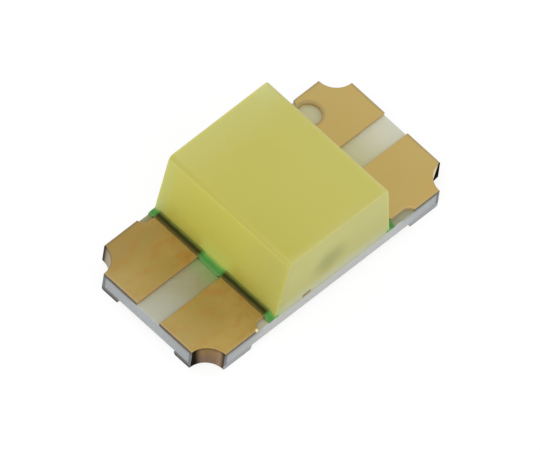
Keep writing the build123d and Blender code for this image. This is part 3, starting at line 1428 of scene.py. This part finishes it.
    def pad_faces(self, mesh: bmesh.types.BMesh) -> list[bmesh.types.BMFace]:
        """Draw and fill the solder pad, outside the ring of the barrel.

        Args:
            mesh: The mesh to draw in.

        Returns:
            The filled faces.
        """
        length, width = self.half_length, self.half_width
        before = set(mesh.edges)
        pen = Pen(mesh, length, width - self.hole_radius, self.core_bottom, self.arc_step)
        pen.run((length, width - self.pad_width), (length - self.pad_length, width - self.pad_width))
        pen.run((length - self.pad_length, width), (length - self.hole_radius, width))
        pen.arc((length, width), 90)
        weld(mesh)
        return fill(mesh, [edge for edge in mesh.edges if edge not in before])

    def solid(self) -> bmesh.types.BMesh:
        """Make the terminal as one closed shell.

        Returns:
            The shell, drawn at the +X +Y corner.
        """
        mesh = bmesh.new()
        layers = (
            (self.land_faces, self.core_top, self.land_top - self.core_top),
            (self.pad_faces, self.core_bottom, -self.core_bottom),
        )
        for draw, level, height in layers:
            flat = draw(mesh)
            ring = self.ring_face(mesh, level)
            weld(mesh)
            raise_faces(mesh, [face for face in (*flat, *ring) if face.is_valid], height)
            bmesh.ops.delete(mesh, geom=[face for face in ring if face.is_valid], context="FACES")
        rims = [edge for edge in mesh.edges if len(edge.link_faces) == 1]
        bmesh.ops.bridge_loops(mesh, edges=rims)
        tidy(mesh)
        return mesh

    def is_sawn(self, edge: bmesh.types.BMEdge) -> bool:
        """Say whether an edge lies in a sawn side of the board."""
        at_end = all(corner.co.x > self.half_length - CLOSE for corner in edge.verts)
        at_side = all(corner.co.y > self.half_width - CLOSE for corner in edge.verts)
        return at_end or at_side

    def surface(self, face: bmesh.types.BMFace) -> Surface:
        """Tell what kind of surface a face belongs to.

        Args:
            face: A face of the shell at the +X +Y corner.

        Returns:
            The kind.
        """
        middle = face.calc_center_median()
        from_outside = min(self.half_length - middle.x, self.half_width - middle.y)
        from_corner = (middle.xy - Vector((self.half_length, self.half_width))).length
        if abs(face.normal.z) > self.level_normal:
            return Surface.BROAD
        if from_corner < self.notch_radius + self.land_round:
            return Surface.BARREL
        return Surface.SAWN if from_outside < self.sawn_round else Surface.ETCHED

    def build(self) -> bpy.types.Object:
        """Make the terminal.

        Returns:
            The finished piece.
        """
        mesh = self.solid()
        for level, radius in ((self.land_top, self.top_round), (0.0, self.pad_round)):
            etched = [edge for edge in level_edges(mesh, level) if not self.is_sawn(edge)]
            round_edges(mesh, etched, radius, 4)
            sawn = [edge for edge in level_edges(mesh, level) if self.is_sawn(edge)]
            round_edges(mesh, sawn, self.sawn_round, 2)
        for face in mesh.faces:
            face.material_index = self.surface(face).value
        gold = GOLD[self.end]
        materials = {
            Surface.BROAD: gold.material(self),
            Surface.SAWN: CutEdge().material(self),
            Surface.BARREL: BARRELS[self.row, self.end].material(self),
            Surface.ETCHED: gold.etched_side(self),
        }
        return finish_piece(
            mesh, f"plated_{self.node}", [materials[kind] for kind in Surface], self.node,
            (self.end.value, self.row.value),
        )


@dataclass
class MaskStrip:
    """Green strip on which one end of the lens stands, draped over the lands and the bare board."""

    end: End
    across: int = 10
    along: int = 220
    sink: float = 0.06
    cover: float = 0.01
    board_film: float = 0.03
    edge_margin: float = 0.075
    ripple: float = 0.0025
    flat_share: float = 0.55
    thinnest: float = 0.12
    between_lands: Band = Band(-0.03, 0.02)
    outside_lands: Band = Band(-0.02, 0.02)
    low: Vector = field(init=False)
    high: Vector = field(init=False)
    land_top: float = field(init=False)
    board_top: float = field(init=False)
    gap_half: float = field(init=False)
    lens_foot: float = field(init=False)

    def __post_init__(self) -> None:
        """Read the strip's place from the frame."""
        self.lens_foot = node_box("lens")[1].x
        self.low, self.high = node_box(self.node)
        if self.end is End.LEFT:
            self.low.x, self.high.x = -self.high.x, -self.low.x
        self.board_top = node_box("laminate_core")[1].z
        land_low, land_high = node_box("terminal_back_right")
        self.land_top, self.gap_half = land_high.z, land_low.y

    @property
    def node(self) -> str:
        """Name of the strip's CAD node."""
        return f"solder_mask_{self.end.name.lower()}"

    @property
    def land_side(self) -> float:
        """Distance from the middle to the lands' outer sides."""
        return self.high.y - self.edge_margin

    def land_share(self, y: float) -> float:
        """Say how far the copper lifts the mask at a place across the board.

        Args:
            y: Place across the board.

        Returns:
            1 over a land and 0 over bare board, with a smooth flow between.
        """
        def step(value: float, start: float) -> float:
            """Smooth step from 0 at start to 1 after the length of the flow."""
            share = min(1.0, max(0.0, (value - start) / self.sink))
            return share * share * (3 - 2 * share)

        inner = step(abs(y), self.gap_half + self.cover - self.sink)
        outer = step(-abs(y), -(self.land_side - self.cover + self.sink))
        return inner * outer

    def shape(self, x: float, y: float) -> tuple[float, float]:
        """Place one point of the mask's top.

        Args:
            x: Place along the board before the edge ripples.
            y: Place across the board.

        Returns:
            The rippled place along the board and the height.
        """
        share = (x - self.low.x) / (self.high.x - self.low.x)
        wave = math.sin(y * 23.0 + self.end.value) + 0.6 * math.sin(y * 41.0 + 2.0)
        moved = x - self.ripple * share * (1 + 0.6 * wave)
        film = self.high.z - self.land_top
        base = self.board_top + (self.land_top - self.board_top) * self.land_share(y)
        film += (self.board_film - film) * (1 - self.land_share(y))
        past_flat = max(0.0, (share - self.flat_share) / (1 - self.flat_share))
        shoulder = math.sqrt(max(0.0, 1 - past_flat ** 2))
        return moved, base + film * (self.thinnest + (1 - self.thinnest) * shoulder)

    def build(self) -> bpy.types.Object:
        """Make the strip.

        Returns:
            The finished piece.
        """
        mesh = bmesh.new()
        place = Matrix.Translation(((self.low.x + self.high.x) / 2, 0, 0))
        place @= Matrix.Diagonal((self.high.x - self.low.x, 2 * self.high.y, 1, 1))
        bmesh.ops.create_grid(
            mesh, x_segments=self.across, y_segments=self.along, size=0.5, matrix=place
        )
        top = mesh.faces[:]
        made = bmesh.ops.extrude_face_region(mesh, geom=top, use_keep_orig=True)
        under = {part for part in made["geom"] if isinstance(part, bmesh.types.BMVert)}
        for corner in mesh.verts:
            moved, height = self.shape(corner.co.x, corner.co.y)
            covered = self.land_share(corner.co.y) > 0.5
            floor = self.land_top if covered else self.board_top
            corner.co.x = moved
            corner.co.z = floor if corner in under else height
        material = GreenMask().material(f"green_mask_{self.end.name.lower()}", self)
        return finish_piece(
            mesh, f"printed_{self.node}", [material], self.node, (self.end.value, 1)
        )

    def bare(self, graph: Graph) -> Socket:
        """Say in a shader where the mask lies on bare board."""
        across = abs(graph.y)
        between = (across - self.gap_half).before(self.between_lands)
        return between.most((across - self.land_side).beyond(self.outside_lands))


@dataclass
class Lens:
    """Encapsulant block: drafted ends, sawn front and back, rounded upper edges."""

    top_round: float = 0.05
    saw_round: float = 0.005
    saw_clearance: float = 0.002
    draft: float = 7.4
    die_height: float = 0.55
    half_width: float = field(init=False)
    foot_half: float = field(init=False)
    board_top: float = field(init=False)
    top: float = field(init=False)
    gap_half: float = field(init=False)
    die_x: float = field(init=False)

    def __post_init__(self) -> None:
        """Read the lens's size and surroundings from the frame."""
        low, high = node_box("lens")
        self.half_width = high.y - self.saw_clearance
        self.foot_half, self.top = high.x, high.z
        self.board_top = low.z
        self.gap_half = node_box("terminal_back_right")[0].y
        self.die_x = node_box("led_die_front")[0].x

    @property
    def slope(self) -> float:
        """How far an end leans in for each millimetre of height."""
        return math.tan(math.radians(self.draft))

    def sawn_edges(self, mesh: bmesh.types.BMesh) -> set[bmesh.types.BMEdge]:
        """Edges round the sawn sides, but for those on the board.

        Args:
            mesh: The lens's mesh.

        Returns:
            The edges.
        """
        above = [
            edge for edge in mesh.edges
            if max(corner.co.z for corner in edge.verts) > self.board_top + CLOSE
        ]
        upright = {
            edge for edge in above
            if sharp(edge) and abs(edge.verts[0].co.y - edge.verts[1].co.y) < CLOSE
        }
        return upright | {
            edge for edge in above if any(abs(face.normal.y) > 0.9 for face in edge.link_faces)
        }

    def build(self) -> bpy.types.Object:
        """Make the lens.

        Returns:
            The finished piece.
        """
        mesh = bmesh.new()
        height = self.top - self.board_top
        size = (2 * self.foot_half, 2 * self.half_width, height, 1)
        place = Matrix.Translation((0, 0, self.board_top + height / 2)) @ Matrix.Diagonal(size)
        bmesh.ops.create_cube(mesh, size=1.0, matrix=place)
        top_half = self.foot_half - height * self.slope
        upper = [corner for corner in mesh.verts if corner.co.z > self.board_top + height / 2]
        bmesh.ops.scale(mesh, vec=(top_half / self.foot_half, 1, 1), verts=upper)
        moulded = [
            edge for edge in level_edges(mesh, self.top)
            if abs(edge.verts[0].co.x - edge.verts[1].co.x) < CLOSE
        ]
        round_edges(mesh, moulded, self.top_round, 8)
        round_edges(mesh, self.sawn_edges(mesh), self.saw_round, 2)
        return finish_piece(mesh, "moulded_lens", [MilkyResin().material(self)], "lens")


@dataclass
class PolarityTriangle:
    """Triangle of solder mask on the underside, its tip towards the marked end."""

    corner_round: float = 0.03
    edge_round: float = 0.006

    def build(self) -> bpy.types.Object:
        """Make the triangle.

        Returns:
            The finished piece.
        """
        low, high = node_box("underside_mark")
        reach = high.x + self.corner_round
        mesh = bmesh.new()
        pen = Pen(mesh, reach, 0.0, low.z)
        pen.run((low.x, high.y), (low.x, low.y)).close()
        fill(mesh, mesh.edges[:])
        bmesh.ops.bevel(
            mesh, geom=mesh.verts[:], offset=self.corner_round, offset_type="OFFSET", segments=6,
            profile=0.5, affect="VERTICES", material=-1,
        )
        raise_faces(mesh, mesh.faces[:], high.z - low.z)
        tidy(mesh)
        round_edges(mesh, level_edges(mesh, low.z), self.edge_round, 2)
        material = GreenMask().material("green_mask_triangle")
        return finish_piece(
            mesh, "printed_polarity_triangle", [material], "underside_mark"
        )


class BuriedPieces:
    """Dies, adhesive, contacts and bond wires, which keep their CAD shape."""

    FINISHES = {
        "led_die": InnerFinish(
            "die_crystal", display(150, 158, 162), display(118, 130, 140), 0.0, 0.16, 0.08, 0.01),
        "die_attach": InnerFinish(
            "die_adhesive", display(214, 208, 186), display(198, 190, 160), 0.0, 0.3, 0.06, 0.012),
        "anode_contact": InnerFinish(
            "anode_gold", display(226, 192, 110), display(206, 168, 84), 1.0, 0.3, 0.02, 0.004),
        "cathode_contact": InnerFinish(
            "cathode_gold", display(222, 188, 108), display(200, 162, 80), 1.0, 0.32, 0.02, 0.004),
        "anode_wire": InnerFinish(
            "anode_bond_wire", display(236, 198, 104), display(218, 176, 84), 1.0, 0.26, 0.05, 0.004,
            (3, 3, 1)),
        "cathode_wire": InnerFinish(
            "cathode_bond_wire", display(234, 196, 104), display(216, 174, 84), 1.0, 0.26, 0.05, 0.004,
            (3, 3, 1)),
    }

    def dress(self) -> None:
        """Give each buried piece its finish."""
        for kind, finish in self.FINISHES.items():
            material = finish.material()
            for row in Row:
                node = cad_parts[f"{kind}_{row.name.lower()}"]
                node.data.materials.clear()
                node.data.materials.append(material)
                LOG.info("%s dressed with %s", node.name, material.name)


@dataclass
class Studio:
    """Pale floor, soft light and a camera at the photograph's angle."""

    azimuth: float = -51.67
    elevation: float = 56.11
    roll: float = 8.86
    pixels_wide: float = 540.0
    pixels_per_mm: float = 108.63
    centre_right: float = 0.0033
    centre_up: float = 0.0783
    distance: float = 30.0
    floor_size: float = 400.0
    floor_tone: float = 0.95
    floor_glow: float = 1.035
    glow_share: float = 0.8
    sky: float = 0.78

    def axes(self) -> Matrix:
        """Right, up and back of the camera as the columns of a matrix."""
        azimuth, elevation = math.radians(self.azimuth), math.radians(self.elevation)
        back = Vector((
            math.sin(azimuth) * math.cos(elevation),
            -math.cos(azimuth) * math.cos(elevation),
            math.sin(elevation),
        ))
        right = Vector((math.cos(azimuth), math.sin(azimuth), 0))
        level = Matrix((right, back.cross(right), back)).transposed()
        return level @ Matrix.Rotation(math.radians(self.roll), 3, "Z")

    def camera(self) -> None:
        """Place the camera."""
        data = bpy.data.cameras.new("photo_camera")
        data.type = "ORTHO"
        data.ortho_scale = self.pixels_wide / self.pixels_per_mm * MM
        data.clip_start = MM
        data.clip_end = self.distance * 10 * MM
        camera = bpy.data.objects.new("photo_camera", data)
        axes = self.axes()
        camera.matrix_world = Matrix.Translation(
            axes @ Vector((self.centre_right, self.centre_up, self.distance)) * MM
        ) @ axes.to_4x4()
        bpy.context.scene.collection.objects.link(camera)
        bpy.context.scene.camera = camera

    def softbox(self, name: str, place: Sequence[float], size: float, strength: float) -> None:
        """Hang a square lamp that shines at the part.

        Args:
            name: Name of the lamp.
            place: Where it hangs, in millimetres.
            size: Length of its side in millimetres.
            strength: Light that reaches the part, where 1 shows a colour as written.
        """
        spot = Vector(place)
        data = bpy.data.lights.new(name, "AREA")
        data.shape = "SQUARE"
        data.size = size * MM
        data.energy = strength * math.pi * (spot.length * MM) ** 2 * math.pi
        lamp = bpy.data.objects.new(name, data)
        aim = spot.to_track_quat("Z", "Y").to_matrix().to_4x4()
        lamp.matrix_world = Matrix.Translation(spot * MM) @ aim
        bpy.context.scene.collection.objects.link(lamp)

    def seen_white(self, nodes: Nodes) -> Socket:
        """Add nodes that pick out the rays that should see plain white.

        Args:
            nodes: The tree that they go into.

        Returns:
            1 for camera, glossy and transmission rays and 0 for others.
        """
        path = nodes.node("ShaderNodeLightPath")
        camera, glossy, through = (
            Socket(nodes, path.outputs[f"Is {kind} Ray"]) for kind in ("Camera", "Glossy", "Transmission")
        )
        return camera.most(glossy).most(through)

    def world(self) -> None:
        """Surround the part with even light that the camera sees as white."""
        world = bpy.data.worlds.new("soft_surroundings")
        world.use_nodes = True
        nodes = Nodes(world.node_tree)
        strength = nodes.node("ShaderNodeMix", inputs={0: self.seen_white(nodes), 2: self.sky, 3: 1.0})
        light = nodes.node("ShaderNodeBackground", inputs={
            "Color": (1.0, 1.0, 1.0), "Strength": strength.outputs[0],
        })
        nodes.node("ShaderNodeOutputWorld", inputs={"Surface": light.outputs[0]})
        bpy.context.scene.world = world

    def floor(self) -> None:
        """Lay the pale floor."""
        mesh = bmesh.new()
        bmesh.ops.create_grid(mesh, x_segments=1, y_segments=1, size=self.floor_size / 2 * MM)
        data = bpy.data.meshes.new("pale_floor")
        mesh.to_mesh(data)
        mesh.free()
        graph = Graph("pale_floor")
        matt = graph.node("ShaderNodeBsdfDiffuse", inputs={"Color": (self.floor_tone,) * 3})
        white = graph.node("ShaderNodeEmission", inputs={
            "Color": (1.0, 1.0, 1.0), "Strength": self.floor_glow,
        })
        share = self.seen_white(graph) * self.glow_share
        data.materials.append(
            graph.finish("ShaderNodeMixShader", {0: share, 1: matt.outputs[0], 2: white.outputs[0]})
        )
        floor = bpy.data.objects.new("pale_floor", data)
        bpy.context.scene.collection.objects.link(floor)

    def build(self) -> None:
        """Set up the whole studio."""
        self.camera()
        self.world()
        self.floor()
        self.softbox("key_softbox", (-14, -6, 26), 22, 0.30)
        self.softbox("side_softbox", (10, -24, 12), 18, 0.08)
        bpy.context.scene.view_settings.view_transform = "Standard"


def main() -> None:
    """Build and dress every sub-assembly, then the studio."""
    logging.basicConfig(level=logging.INFO, format="%(name)s: %(message)s")
    Board().build()
    for end in End:
        for row in Row:
            Terminal(end, row).build()
        MaskStrip(end).build()
    PolarityTriangle().build()
    Lens().build()
    BuriedPieces().dress()
    Studio().build()


if __name__ == "__main__":
    main()
